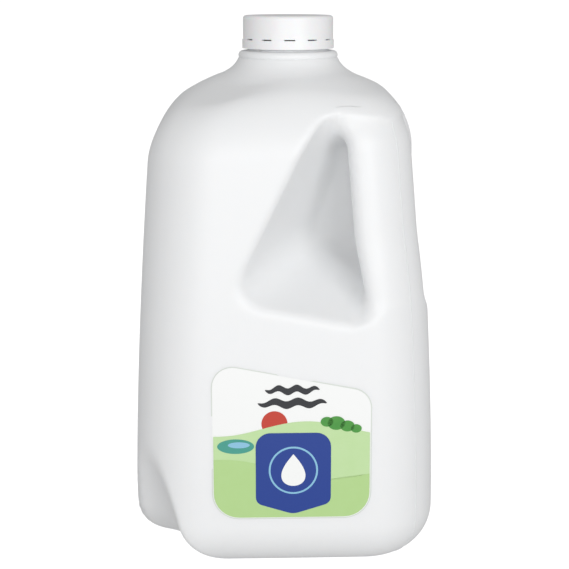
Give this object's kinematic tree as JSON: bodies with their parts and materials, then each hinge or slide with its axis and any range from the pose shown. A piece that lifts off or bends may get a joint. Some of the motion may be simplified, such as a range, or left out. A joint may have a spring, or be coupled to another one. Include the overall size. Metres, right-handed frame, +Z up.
{
  "type": "plastic milk jug",
  "caption": "Full one gallon milk jug in white plastic: square body with a hollow corner handle, snap cap on an offset neck, and a printed front label.",
  "frame": {"origin": "centre of the jug's base, on the surface that it stands on", "axes": "+Z up through the jug; the label faces -Y; the handle is at the corner between +X and -Y"},
  "size_m": [0.148, 0.1482, 0.2649],
  "materials": {
    "jug_plastic": "satin, blow-moulded polyethylene",
    "cap_plastic": "satin, injection-moulded",
    "label_film": "printed film, soft gloss"
  },
  "bodies": {
    "root": {"jug": "jug_plastic", "cap": "cap_plastic", "label": "label_film"}
  },
  "joints": []
}
